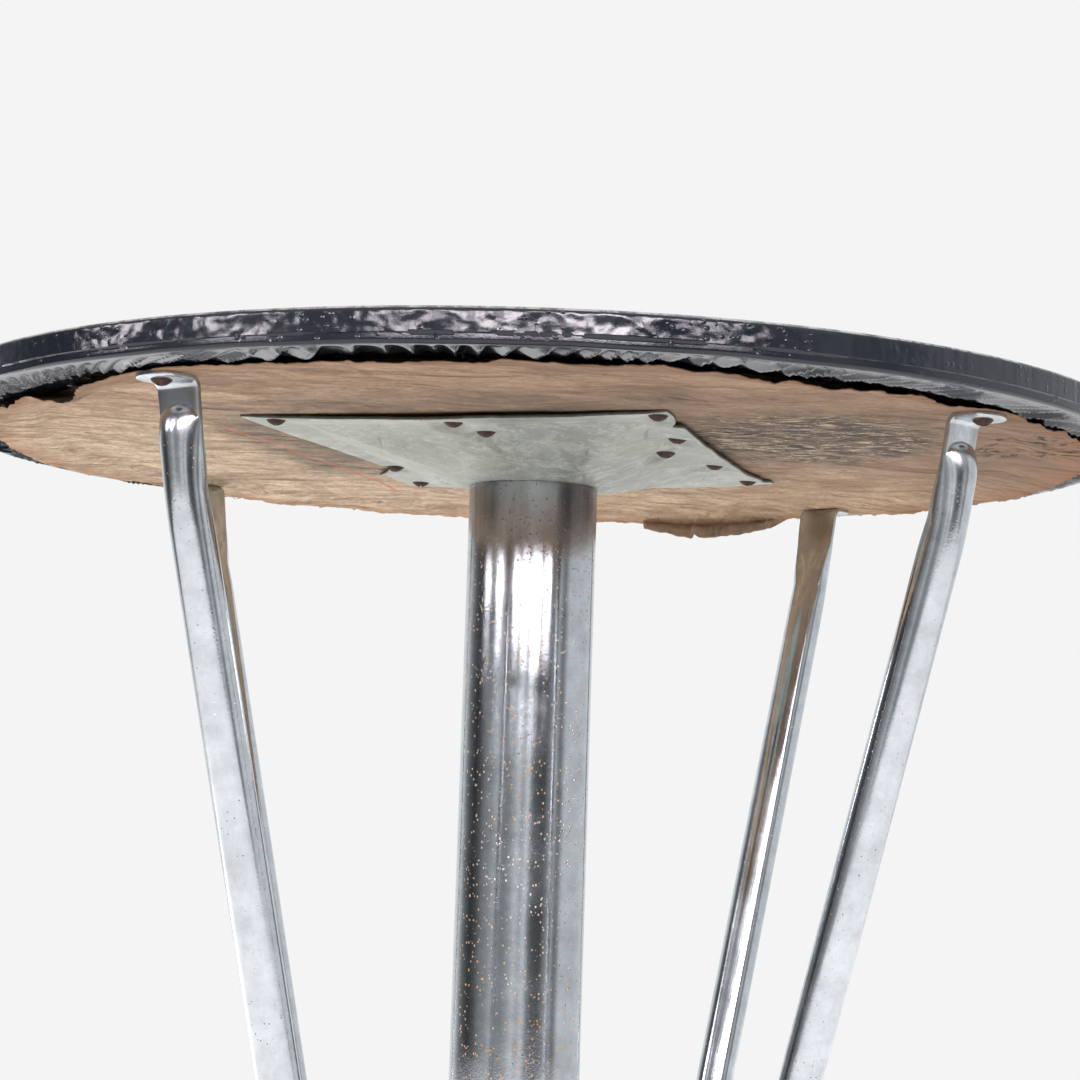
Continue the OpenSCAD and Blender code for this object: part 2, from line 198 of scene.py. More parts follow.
class Nodes:
    """A short way to write a node material."""

    def __init__(self, name, **sockets):
        self.mat = bpy.data.materials.new(name)
        self.mat.use_nodes = True
        self.tree = self.mat.node_tree
        self.shader = self.tree.nodes["Principled BSDF"]
        self.place = self.add("ShaderNodeTexCoord").outputs["Object"]
        for key, value in sockets.items():
            self.shader.inputs[key.replace("_", " ")].default_value = value

    def add(self, kind, inputs=None, **props):
        return add_node(self.tree, kind, inputs, **props)

    def math(self, operation, a, b=0.0, clamp=False):
        return self.add("ShaderNodeMath", {0: a, 1: b}, operation=operation, use_clamp=clamp).outputs[0]

    def scaled(self, x, y, z, move=(0, 0, 0)):
        inputs = {"Vector": self.place, "Scale": (x, y, z), "Location": move}
        return self.add("ShaderNodeMapping", inputs).outputs[0]

    def noise(self, scale, detail=4, rough=0.55, where=None, distortion=0.0):
        inputs = {"Vector": where or self.place, "Scale": scale, "Detail": detail}
        inputs.update({"Roughness": rough, "Distortion": distortion})
        return self.add("ShaderNodeTexNoise", inputs).outputs["Fac"]

    def cells(self, scale, where=None):
        """Distance to the nearest of many scattered points."""
        inputs = {"Vector": where or self.place, "Scale": scale}
        return self.add("ShaderNodeTexVoronoi", inputs).outputs["Distance"]

    def ramp(self, value, *stops):
        """A colour ramp, whose stops are (position, colour) or (position, grey)."""
        node = self.add("ShaderNodeValToRGB", {"Fac": value})
        set_stops(node, [(at, tint if hasattr(tint, "__len__") else (tint,) * 3) for at, tint in stops])
        return node.outputs["Color"]

    def mix(self, factor, a, b, blend="MIX"):
        node = self.add("ShaderNodeMix", data_type="RGBA", blend_type=blend)
        for socket, value in ((node.inputs[0], factor), (node.inputs[6], a), (node.inputs[7], b)):
            if isinstance(value, bpy.types.NodeSocket):
                self.tree.links.new(value, socket)
            else:
                if not hasattr(value, "__len__") and socket != node.inputs[0]:
                    value = (value,) * 3
                socket.default_value = value if not hasattr(value, "__len__") else (*value, 1)[:4]
        return node.outputs[2]

    def bump(self, height, distance, strength=1.0, under=None):
        inputs = {"Height": height, "Distance": distance, "Strength": strength}
        if under is not None:
            inputs["Normal"] = under
        return self.add("ShaderNodeBump", inputs).outputs["Normal"]

    def near(self, x, y, half_x, half_y, turn=0.0, ragged=0.0, soft=0.25):
        """1 inside an ellipse on the XY plane and 0 outside, with a ragged edge."""
        inputs = {"Vector": self.place, "Location": (x, y, 0), "Rotation": (0, 0, turn)}
        inputs["Scale"] = (half_x, half_y, 1)
        moved = self.add("ShaderNodeMapping", inputs, vector_type="TEXTURE").outputs[0]
        part = self.add("ShaderNodeSeparateXYZ", {0: moved})
        flat = self.add("ShaderNodeCombineXYZ", {0: part.outputs[0], 1: part.outputs[1]})
        reach = self.add("ShaderNodeVectorMath", {0: flat.outputs[0]}, operation="LENGTH").outputs["Value"]
        if ragged:
            wander = self.math("SUBTRACT", self.noise(60), 0.5)
            reach = self.math("ADD", reach, self.math("MULTIPLY", wander, ragged))
        return self.add(
            "ShaderNodeMapRange",
            {"Value": reach, "From Min": 1 - soft, "From Max": 1 + soft, "To Min": 1.0, "To Max": 0.0},
            interpolation_type="SMOOTHSTEP",
        ).outputs[0]

    def set(self, **sockets):
        for key, value in sockets.items():
            self.tree.links.new(value, self.shader.inputs[key.replace("_", " ")])
        return self.mat


def chrome(name, shine, specks, pitting, painted_dim_heights, dark, light):
    """Old chrome plate: faint haze, black pits, orange rust specks, and between two heights a duller finish
    with a painted darker reflection and painted pale streaks.
    """
    n = Nodes(name)
    where = n.scaled(1, 1, 0.8)
    patches = n.ramp(n.noise(9, 3), (0.36, 0.0), (0.62, 1.0))
    fine = n.math("LESS_THAN", n.cells(560, where), 0.24 * specks)
    fine = n.math("MULTIPLY", fine, n.math("GREATER_THAN", n.noise(230, 2), 0.53))
    coarse = n.math("LESS_THAN", n.cells(210, where), 0.12 * specks)
    coarse = n.math("MULTIPLY", coarse, n.math("GREATER_THAN", n.noise(75, 2), 0.6))
    orange = n.math("MULTIPLY", n.math("MAXIMUM", fine, coarse), patches)
    black = n.math("LESS_THAN", n.cells(380, n.scaled(1, 1, 0.8, (0.3, 0.1, 0.2))), 0.12 * pitting)
    black = n.math("MULTIPLY", black, n.math("GREATER_THAN", n.noise(34, 3), 0.56))
    haze = n.ramp(n.noise(60, 7, 0.75), (0.34, 0.72), (0.72, 1.05))
    metal = n.mix(1.0, shine, haze, "MULTIPLY")
    # Between the two heights the colour is painted: darker, with painted streaks paler than the metal can be,
    # a painted reflection of the dark paper above; rust specks there are painted near-black.
    height = n.add("ShaderNodeSeparateXYZ", {0: n.place}).outputs[2]
    top = n.add(
        "ShaderNodeMapRange",
        {"Value": height, "From Min": painted_dim_heights[0], "From Max": painted_dim_heights[1]},
        interpolation_type="SMOOTHSTEP",
    ).outputs[0]
    painted_reflection_streaks = n.ramp(n.noise(48, 3, 0.5, n.scaled(1, 1, 0.05)), (0.40, 0.0), (0.58, 1.0))
    metal = n.mix(top, metal, n.mix(1.0, metal, n.mix(painted_reflection_streaks, dark, light), "MULTIPLY"))
    rust = n.mix(n.noise(130, 2), (0.26, 0.075, 0.015), (0.62, 0.36, 0.09))
    rust = n.mix(top, rust, (0.05, 0.035, 0.028))
    rusted = n.mix(orange, metal, rust)
    colour = n.mix(black, rusted, (0.035, 0.022, 0.016))
    worn = n.math("ADD", orange, black, clamp=True)
    rough = n.ramp(n.noise(26, 5, 0.7), (0.3, 0.05), (0.8, 0.2))
    rough = n.mix(n.math("MULTIPLY", top, 0.8), rough, 0.3)
    grit = n.math("MULTIPLY", n.noise(900, 3, 0.7), n.ramp(n.noise(13, 4), (0.4, 0.15), (0.62, 1.0)))
    relief = n.math("ADD", n.math("MULTIPLY", n.noise(9, 2), 0.35), n.math("MULTIPLY", worn, 0.05))
    relief = n.math("ADD", relief, n.math("MULTIPLY", grit, 0.045))
    return n.set(Roughness=n.mix(worn, rough, 0.75), Metallic=n.math("SUBTRACT", 1.0, worn, clamp=True),
                 Base_Color=colour, Normal=n.bump(relief, 0.0009))


def leatherette():
    """Black coated cloth: glossy, with a fine grain, worn grey along the top edge."""
    n = Nodes("black_leatherette", IOR=1.52)
    grain = n.noise(620, 4, 0.7)
    height = n.add("ShaderNodeSeparateXYZ", {0: n.place}).outputs[2]
    edge = n.add(
        "ShaderNodeMapRange",
        {"Value": height, "From Min": TOP_Z - 2.6 * MM, "From Max": TOP_Z - 0.9 * MM},
        interpolation_type="SMOOTHSTEP",
    ).outputs[0]
    reach = n.add("ShaderNodeVectorMath", {0: n.place}, operation="LENGTH").outputs["Value"]
    at_rim = n.math("GREATER_THAN", reach, math.hypot(TOP_R - 2.0 * MM, TOP_Z))
    scuffs = n.ramp(n.noise(70, 7, 0.75), (0.44, 0.0), (0.56, 1.0))
    worn = n.math("MULTIPLY", n.math("MULTIPLY", edge, at_rim), scuffs)
    base = n.mix(n.noise(14, 4), (0.005, 0.0065, 0.010), (0.013, 0.016, 0.023))
    colour = n.mix(n.math("MULTIPLY", worn, 0.8), base, (0.28, 0.27, 0.26))
    rough = n.ramp(n.noise(36, 5, 0.65), (0.3, 0.07), (0.75, 0.16))
    where = n.ramp(n.noise(45, 2), (0.46, 0.0), (0.6, 1.0))
    dots = n.math("MULTIPLY", n.ramp(n.cells(230), (0.0, 1.0), (0.3, 0.0)), where)
    band = n.math("SUBTRACT", 1.0, n.near(0, 0, TOP_R - 0.2 * MM, TOP_R - 0.2 * MM, 0, 0.0, 0.002))
    pebble = n.bump(n.math("MULTIPLY", dots, band), 0.0006, 0.8)
    n.set(Base_Color=colour, Roughness=n.mix(worn, rough, 0.6))
    return n.set(Normal=n.bump(grain, 0.0001, 0.5, pebble))


def kraft_paper():
    """Brown fibre paper: flecks, blotches, small slits, a dark scratched stain and a pencil arc."""
    n = Nodes("kraft_paper", Roughness=0.9)
    mottle = n.noise(26, 7, 0.7, None, 0.6)
    fibres = n.noise(85, 7, 0.75, n.scaled(0.7, 1.2, 1), 0.5)
    fine = n.noise(330, 5, 0.75)
    tan = n.mix(n.ramp(mottle, (0.34, 0.0), (0.68, 1.0)), (0.35, 0.225, 0.13), (0.60, 0.43, 0.275))
    # Painted shade: the near and right sides darker and redder, and darker still towards the right end.
    side = n.near(0.10, -0.24, 0.30, 0.22, 0.25, 0.35, 0.7)
    colour = n.mix(n.math("MULTIPLY", side, 0.6), tan, (0.27, 0.155, 0.095))
    dark_end = n.near(0.255, -0.045, 0.075, 0.13, 0.1, 0.5, 0.5)
    colour = n.mix(n.math("MULTIPLY", dark_end, 0.75), colour, (0.20, 0.115, 0.072))
    # Painted shade in the valleys of the folds, strongest on the near and right sides
    painted_fold_shade = n.ramp(n.noise(11, 3, 0.55, n.scaled(0.7, 1.5, 1), 1.6), (0.36, 1.0), (0.47, 0.2), (0.53, 0.0))
    fold_shade_strength = n.math("ADD", n.math("MULTIPLY", side, 0.55), 0.18)
    colour = n.mix(n.math("MULTIPLY", painted_fold_shade, fold_shade_strength), colour, (0.13, 0.075, 0.048))
    # Painted light: the far left is paler.
    pale = n.near(-0.16, 0.14, 0.20, 0.20, 0.3, 0.4, 0.6)
    colour = n.mix(n.math("MULTIPLY", pale, 0.5), colour, (0.70, 0.56, 0.40))
    colour = n.mix(n.ramp(fibres, (0.36, 0.7), (0.56, 0.0)), colour, (0.21, 0.13, 0.08))
    colour = n.mix(n.ramp(fine, (0.40, 0.45), (0.56, 0.0)), colour, (0.17, 0.105, 0.065))
    rim = n.near(0, 0, PAPER_R - 7 * MM, PAPER_R - 7 * MM, 0, 0.14, 0.05)
    colour = n.mix(n.math("MULTIPLY", n.math("SUBTRACT", 1.0, rim), 0.6), colour, (0.26, 0.12, 0.055))
    # Water marks with a dark rim
    tide = n.noise(8, 3, 0.5, None, 1.4)
    ring = n.ramp(tide, (0.485, 0.0), (0.505, 0.5), (0.53, 0.0))
    colour = n.mix(ring, colour, (0.20, 0.125, 0.08))
    # Dirt with painted contact shade round the plate, thickest along its left and near edges
    for x, y, half_x, half_y, turn, depth in (
        (-0.125, 0.015, 0.024, 0.115, -0.33, 0.75),
        (-0.02, -0.150, 0.13, 0.030, -0.36, 0.5),
        (0.0, 0.0, 0.15, 0.165, -0.36, 0.3),
    ):
        cloud = n.ramp(n.noise(30, 6, 0.75), (0.36, 1.0), (0.7, 0.35))
        grime_and_shade = n.math("MULTIPLY", n.near(x, y, half_x, half_y, turn, 0.9, 0.5), cloud)
        colour = n.mix(n.math("MULTIPLY", grime_and_shade, depth), colour, (0.07, 0.052, 0.04))
    # Scratched, oily patch beside the plate
    patch = n.near(0.130, -0.080, 0.062, 0.082, -0.25, 0.7, 0.3)
    scratches = n.ramp(n.noise(30, 8, 0.8, n.scaled(1.0, 2.2, 1), 1.6), (0.45, 1.0), (0.62, 0.5))
    colour = n.mix(n.math("MULTIPLY", patch, scratches), colour, (0.045, 0.032, 0.026))
    pale = n.ramp(n.noise(60, 8, 0.85, n.scaled(0.8, 2.5, 1), 2.0), (0.52, 0.0), (0.57, 1.0))
    colour = n.mix(n.math("MULTIPLY", n.math("MULTIPLY", patch, pale), 0.85), colour, (0.62, 0.47, 0.32))
    # Small black slits and flecks
    slit = n.math("LESS_THAN", n.cells(42, n.scaled(0.6, 1.3, 1)), 0.055)
    fleck = n.math("LESS_THAN", n.cells(150), 0.085)
    fleck = n.math("MULTIPLY", fleck, n.math("GREATER_THAN", n.noise(20, 2), 0.55))
    slit = n.math("MAXIMUM", n.math("MULTIPLY", slit, n.math("GREATER_THAN", n.noise(16, 1), 0.5)), fleck)
    colour = n.mix(slit, colour, (0.022, 0.014, 0.01))
    cracks = n.near(0.236, -0.105, 0.032, 0.055, 0.1, 0.5, 0.3)
    torn = n.math("MULTIPLY", cracks, n.ramp(n.noise(40, 7, 0.8, None, 1.4), (0.53, 0.0), (0.56, 1.0)))
    colour = n.mix(torn, colour, (0.012, 0.009, 0.007))
    # A long pencil arc, drawn round a point far off to the left
    arc_middle = (-2.06, 0.904, PAPER_Z)
    away = n.add("ShaderNodeVectorMath", {0: n.place, 1: arc_middle}, operation="DISTANCE").outputs["Value"]
    away = n.math("ADD", away, n.math("MULTIPLY", n.noise(22, 2), 0.008))
    line = n.math("LESS_THAN", n.math("ABSOLUTE", n.math("SUBTRACT", away, 2.124)), 0.0010)
    line = n.math("MULTIPLY", line, n.near(-0.113, 0.078, 0.125, 0.03, 1.17, 0.0, 0.06))
    line = n.math("MULTIPLY", line, n.ramp(n.noise(170, 5, 0.7), (0.34, 0.15), (0.52, 0.9)))
    colour = n.mix(line, colour, (0.5, 0.13, 0.06))
    # What hangs down is in its own shade
    height = n.add("ShaderNodeSeparateXYZ", {0: n.place}).outputs[2]
    inputs = {"Value": height, "From Min": RIM_Z - 3.5 * MM, "From Max": RIM_Z - 7 * MM}
    hanging = n.add("ShaderNodeMapRange", inputs).outputs[0]
    colour = n.mix(n.math("MULTIPLY", hanging, 0.6), colour, (0.15, 0.105, 0.07))
    folds = n.bump(n.noise(12, 3, 0.5, n.scaled(1, 1.8, 1), 1.2), 0.022, 1.0)
    relief = n.math("ADD", n.math("MULTIPLY", fibres, 0.7), n.math("MULTIPLY", fine, 0.3))
    return n.set(Base_Color=colour, Normal=n.bump(relief, 0.0016, 0.9, folds))


def galvanised():
    """Zinc-coated sheet: cloudy tarnish, white bloom, scratches and warm stains."""
    n = Nodes("galvanised_sheet", Metallic=0.3)
    cloud = n.noise(20, 7, 0.7, None, 0.8)
    colour = n.mix(n.ramp(cloud, (0.33, 0.0), (0.68, 1.0)), (0.185, 0.19, 0.16), (0.37, 0.38, 0.33))
    bloom = n.ramp(n.noise(90, 7, 0.85, None, 0.6), (0.48, 0.0), (0.62, 0.65))
    colour = n.mix(bloom, colour, (0.50, 0.53, 0.48))
    stain = n.ramp(n.noise(34, 6, 0.7), (0.52, 0.0), (0.72, 0.5))
    colour = n.mix(stain, colour, (0.24, 0.22, 0.155))
    marks = n.ramp(n.noise(70, 4, 0.6, n.scaled(1, 0.2, 1), 0.8), (0.64, 0.0), (0.69, 0.6))
    colour = n.mix(marks, colour, (0.11, 0.11, 0.10))
    rough = n.ramp(cloud, (0.3, 0.36), (0.75, 0.6))
    relief = n.math("ADD", n.math("MULTIPLY", cloud, 0.8), n.math("MULTIPLY", bloom, 0.06))
    return n.set(Base_Color=colour, Roughness=rough, Normal=n.bump(relief, 0.002))


def rusty():
    """Brown rust with paler flakes."""
    n = Nodes("rusty_steel", Roughness=0.7, Metallic=0.25)
    flakes = n.noise(420, 6, 0.7)
    dark, mid, light = (0.016, 0.008, 0.006), (0.055, 0.025, 0.016), (0.14, 0.06, 0.03)
    colour = n.ramp(flakes, (0.3, dark), (0.55, mid), (0.8, light))
    return n.set(Base_Color=colour, Normal=n.bump(flakes, 0.0005))


def plain(name, dark, light, scale, rough, metallic=0.0, stretch=(1, 1, 1), depth=0.0003, **sockets):
    """A two-tone material with a noise grain, for pieces that are seldom seen."""
    n = Nodes(name, Metallic=metallic, **sockets)
    grain = n.noise(scale, 6, 0.65, n.scaled(*stretch))
    n.set(Roughness=n.ramp(grain, (0.3, rough * 0.8), (0.8, min(rough * 1.2, 1))))
    return n.set(Base_Color=n.ramp(grain, (0.3, dark), (0.75, light)), Normal=n.bump(grain, depth))


# The last three arguments give the heights of the painted darker reflection near the top, its painted dark
# tint and its painted pale streaks.
CHROME = chrome("column_chrome", (0.57, 0.60, 0.63), 1.1, 1.0, (COLUMN_TOP - 45 * MM, COLUMN_TOP - 11 * MM),
                (0.34, 0.33, 0.35), (1.15, 1.17, 1.22))
STRUT_CHROME = chrome("strut_chrome", (0.62, 0.65, 0.68), 0.6, 0.85, (RIM_Z - 34 * MM, RIM_Z - 15 * MM),
                      (0.62, 0.58, 0.52), (1.0, 1.0, 1.0))
LEATHER = leatherette()
LEATHER_TOP = plain("leatherette_top", (0.006, 0.0075, 0.011), (0.014, 0.017, 0.024), 420, 0.5,
                    depth=0.00012, IOR=1.3)
PAPER = kraft_paper()
ZINC_SHEET = galvanised()
RUSTY = rusty()
CUT_EDGE = plain("cut_sheet_edge", (0.045, 0.045, 0.04), (0.13, 0.125, 0.11), 180, 0.6, 0.4)
PLYWOOD = plain("plywood", (0.30, 0.19, 0.10), (0.55, 0.39, 0.22), 40, 0.7, stretch=(1, 12, 60))
TACK_IRON = plain("tack_iron", (0.02, 0.017, 0.015), (0.07, 0.05, 0.04), 300, 0.5, 0.7)
BEECH = plain("beech", (0.38, 0.25, 0.14), (0.56, 0.40, 0.25), 60, 0.6, stretch=(8, 8, 1))
ZINC = plain("zinc_plate", (0.42, 0.43, 0.44), (0.62, 0.63, 0.64), 200, 0.32, 1.0, depth=0.00005)
LACQUER = plain("black_lacquer", (0.006, 0.006, 0.006), (0.02, 0.019, 0.018), 26, 0.16, stretch=(1, 6, 1),
                depth=0.0001, Coat_Weight=0.6, Coat_Roughness=0.08)
IRON = plain("cast_iron", (0.02, 0.02, 0.022), (0.06, 0.06, 0.065), 260, 0.62, 0.6, depth=0.0006)
RUBBER = plain("black_rubber", (0.008, 0.008, 0.008), (0.022, 0.022, 0.022), 240, 0.75)

CAD_MATERIALS = {
    "top_board": PLYWOOD, "cover_tacks": TACK_IRON, "dust_cover_tacks": TACK_IRON,
    "plate_screws": RUSTY, "strut_top_screws": RUSTY, "strut_foot_screws": RUSTY,
    "column_top_plug": BEECH, "column_bottom_plug": BEECH, "tie_rod": ZINC,
    "tie_rod_top_washer": ZINC, "tie_rod_top_nut": ZINC, "tie_rod_bottom_washer": ZINC,
    "tie_rod_bottom_nut": ZINC, "flange_screws": ZINC, "ballast_ring": IRON,
    "ballast_screws": ZINC, "feet_screws": ZINC, "base_feet": RUBBER,
}
for node, material in CAD_MATERIALS.items():
    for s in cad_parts[node].material_slots:
        s.material = material


# ---------------------------------------------------------------- top cover


def make_cover():
    """The leatherette: flat top, hammered rim over a plain lip, and a pleated hem turned under."""
    segments = 1500
    height = TOP_Z - RIM_Z
    bulge = 0.9 * MM
    band_r = TOP_R + bulge
    top_rows = [(TOP_R * f, TOP_Z) for f in (0.12, 0.3, 0.5, 0.7, 0.85, 0.94, 0.975)]
    corner = 2.0 * MM
    top_rows += [
        (band_r - corner + corner * math.sin(t), TOP_Z - corner + corner * math.cos(t))
        for t in (0, 0.35, 0.7, 1.05, 1.35)
    ]
    rim_rows = [(band_r, TOP_Z - height * f) for f in np.linspace(0.17, 0.70, 11)]
    lip_rows = [(TOP_R, TOP_Z - height * f) for f in (0.735, 0.79, 0.86)]
    turn_rows = [
        (TOP_R - 1.8 * MM * (1 - math.cos(t)), RIM_Z + 1.8 * MM * (1 - math.sin(t)))
        for t in (0.15, 0.6, 1.05, math.pi / 2)
    ]
    insets = (3.4, 4.6, 6, 7.5, 9, 10.5, 12, 13.5, 15, 16.5, 18, 20, 22, 25, 29, 34, 40)
    hem_rows = [(TOP_R - inset * MM, RIM_Z) for inset in insets]
    rows = top_rows + rim_rows + lip_rows + turn_rows + hem_rows
    rim_from, lip_from, hem_from = len(top_rows) - 3, len(top_rows) + len(rim_rows), len(rows) - len(hem_rows)
    verts = [(0, 0, TOP_Z)]
    for i, (r, z) in enumerate(rows):
        for j in range(segments):
            a = 2 * math.pi * j / segments
            c, s = math.cos(a), math.sin(a)
            azimuth = math.degrees(a)
            rr, zz = r, z
            if rim_from <= i < lip_from:
                rough = 0.2 + 0.8 * step(105 - angle_from(azimuth, 215), 0, 30)
                pebble = wave(c * 70, s * 70, z * 230) + 0.5 * wave(c * 130, s * 130, z * 430)
                dent = wave(c * 22, s * 22, z * 60)
                rr += rough * (0.19 * pebble + 0.24 * dent) * MM
                streak = step(50 - angle_from(azimuth, 335), 0, 20)
                rr += streak * 0.22 * wave(c * 150, s * 150, z * 12) * MM
            elif lip_from <= i < hem_from:
                rr += 0.2 * (1 + wave(c * 16, s * 16, 3.1)) * MM
                zz += 0.35 * wave(c * 11, s * 11, 7.7) * MM
            elif i >= hem_from:
                inset = (TOP_R - r) / MM
                swell = step(inset, 2.6, 9) * (1 - step(inset, 20, 30))
                lean = 2.2 * wave(c * 2.5, s * 2.5, 5.2) + 0.7
                phase = TOP_R * a / MM / 12 + 1.1 * wave(c * 8, s * 8, 2.4) + lean * inset / 14
                fold = math.floor(phase)
                part = phase - fold
                ridge = part / 0.78 if part < 0.78 else (1 - part) / 0.22
                tall = 0.7 + 1.1 * abs(wave(fold * 0.73, 4.4, 1.9)) * 2
                zz += (step(inset, 3.5, 9) * 1.2 - min(ridge**1.3 * tall, 1.5) * 2.3 * swell) * MM
            verts.append((rr * c, rr * s, zz))
    faces = [(0, 1 + j, 1 + (j + 1) % segments) for j in range(segments)]
    faces += quads(len(rows), segments, first=1)
    cover = add_mesh("leatherette_cover", verts, faces, LEATHER, ("top_cover",), 50)
    # The flat of the top is duller than the stretched rim
    cover.data.materials.append(LEATHER_TOP)
    for face in cover.data.polygons:
        if min(cover.data.vertices[k].co.z for k in face.vertices) > TOP_Z - 0.05 * MM:
            face.material_index = 1
    thicken(cover, COVER_T, -1)


make_cover()


# ---------------------------------------------------------------- dust cover


def make_paper():
    """The paper under the top: ragged edge, loose waves near it, one hanging flap and one peeled flap."""
    segments = 1260
    fractions = [0.0, 0.2, 0.38, 0.5, 0.6, *np.linspace(0.68, 0.9, 16), *np.linspace(0.9, 1.0, 17)[1:]]
    fold_from = 0.93
    thickness = 0.4 * MM
    ceiling = BOARD_Z - 0.5 * MM
    verts = [(0, 0, ceiling)]
    for f in fractions[1:]:
        for j in range(segments):
            a = 2 * math.pi * j / segments
            c, s = math.cos(a), math.sin(a)
            az = math.degrees(a)
            ragged = 2.8 * wave(c * 8, s * 8, 0.4) + 1.8 * wave(c * 26, s * 26, 4.0)
            ragged += 1.2 * wave(c * 85, s * 85, 8.0)
            far = 1 - step(angle_from(az, 88), 66, 100)
            flap = step(9.6 - angle_from(az, 61.4), 0, 0.7)
            peel = bump_at(angle_from(az, 212), 0, 4.5)
            left = bump_at(angle_from(az, 196), 0, 9)
            right = 1 - step(angle_from(az, 8), 30, 62)
            edge = PAPER_R + (ragged + 8 * max(far, right) - 9 * peel + 3 * left) * MM
            r = edge * f
            out = (r - (HEM_IN_R - 10 * MM)) / (edge - HEM_IN_R + 10 * MM)
            loose = step(out, 0.1, 1.0)
            # The struts' tabs press the paper flat
            from_tab = min(angle_from(az, turn) for turn in STRUT_TURNS.values())
            tab = bump_at(r, STRUT_TOP_R, 22 * MM) * bump_at(from_tab, 0, 5.0)
            hold = 1 - min(tab * 1.6, 1)
            near = step(angle_from(az, 88), 80, 120)
            sag = 1.3 + 0.9 * max(far * (1 if az < 90 else 0.2), right)
            sag += (0.9 + near) * wave(c * 6, s * 6, 2.0)
            sag += (0.7 + 0.9 * near) * wave(c * 17, s * 17, 6.0)
            teeth = (0.7 * wave(c * 40, s * 40, 3.3) + 0.5 * wave(c * 110, s * 110, 6.1)) * step(out, 0.75, 1)
            curl = 0.6 * wave(c * 45, s * 45, r * 60) * step(out, 0.5, 1)
            drop = max(loose * (sag + curl) + teeth, 0) * hold
            drop += 3.4 * peel * step(out, 0.1, 1.0) + 1.5 * left * loose
            # Long soft folds run in from the edge
            wrinkle = 0.9 * max(wave(c * r * 26 + 3, s * r * 34, 1), 0) * step(r, 0.13, 0.2)
            wrinkle += 0.5 * max(wave(c * r * 60, s * r * 90, 5), 0) * step(r, 0.15, 0.22)
            drop += wrinkle * hold
            over_hem = PAPER_Z + 0.15 * MM - ceiling - thickness
            z = ceiling + over_hem * step(r, HEM_IN_R - 14 * MM, HEM_IN_R - 2 * MM)
            # The far flap is torn loose at its sides and hangs over
            if flap > 0 and f > fold_from:
                t = (f - fold_from) / (1 - fold_from)
                tilt = math.radians(112) * step(t, 0.0, 0.75)
                short = 11 * ((64 - az) / 12) ** 2 if az < 64 else 13 * (az - 64) / 7
                length = (24 - short + 1.5 * wave(c * 60, s * 60, 9.0)) * MM
                length -= 5 * MM * bump_at(az, 63.4, 0.3)
                reach = (0.55 + 0.45 * math.cos(tilt)) * (1 if tilt < 1.6 else 0.8)
                bent_r = edge * fold_from + length * t * reach
                fall = 17.0 * t**1.5 * math.sin(min(tilt, 1.45)) * length / (24 * MM)
                bent_z = z - (2.2 + fall) * MM * 0.72
                r = r + (bent_r - r) * flap
                drop = drop * (1 - flap)
                z = z + (bent_z - z) * flap
            verts.append((r * c, r * s, z - drop * MM))
    rows = len(fractions) - 1
    faces = [(0, 1 + (j + 1) % segments, 1 + j) for j in range(segments)]
    faces += [tuple(reversed(q)) for q in quads(rows, segments, first=1)]
    paper = add_mesh("paper_dust_cover", verts, faces, PAPER, ("dust_cover",), 60)
    thicken(paper, thickness, -1)


make_paper()


# ---------------------------------------------------------------- mounting plate


def dish_depth(x, y):
    """How far the plate has been pressed down at a place, from the plate's own centre."""
    half_x, half_y = PLATE_W / 2 - PLATE_BORDER, PLATE_L / 2 - PLATE_BORDER
    seat = COLUMN_R + SEAT_MARGIN
    full = PLATE_TOP - PLATE_T - COLUMN_TOP
    reach = math.hypot(x, y)
    if reach < 1e-6:
        return full
    c, s = x / reach, y / reach
    to_x = (half_x + PLATE_OFF * (1 if c > 0 else -1)) / max(abs(c), 1e-6)
    to_y = half_y / max(abs(s), 1e-6)
    border = min(to_x, to_y)
    t = (reach - seat) / (border - seat)
    t = min(max(t, 0), 1)
    return full * (1 - (0.82 * t + 0.18 * step(t, 0, 1)))


def plate_screw_places():
    """Each screw's place on the plate and how deep its seat is pressed; the left side's screw is ninth."""
    half_x, half_y = PLATE_W / 2, PLATE_L / 2
    corner, end, end_inner, side, side_inner = 12 * MM, 24 * MM, 36 * MM, 18 * MM, 30 * MM
    corner_x, corner_y, side_x = half_x - corner, half_y - corner, half_x - side
    flat = [(-corner_x, -corner_y), (corner_x, -corner_y), (corner_x, corner_y), (-corner_x, corner_y)]
    flat += [(-PLATE_W * 0.04, -half_y + end), (PLATE_W * 0.04, half_y - end)]
    flat += [(side_x, -PLATE_L * 0.17), (side_x, PLATE_L * 0.2), (-side_x, PLATE_L * 0.2)]
    pressed = [(PLATE_W * 0.02, -half_y + end_inner), (-PLATE_W * 0.02, half_y - end_inner)]
    pressed += [(half_x - side_inner, -PLATE_L * 0.06)]
    return [(x, y, 0) for x, y in flat] + [(x, y, SCREW_DROP) for x, y in pressed]


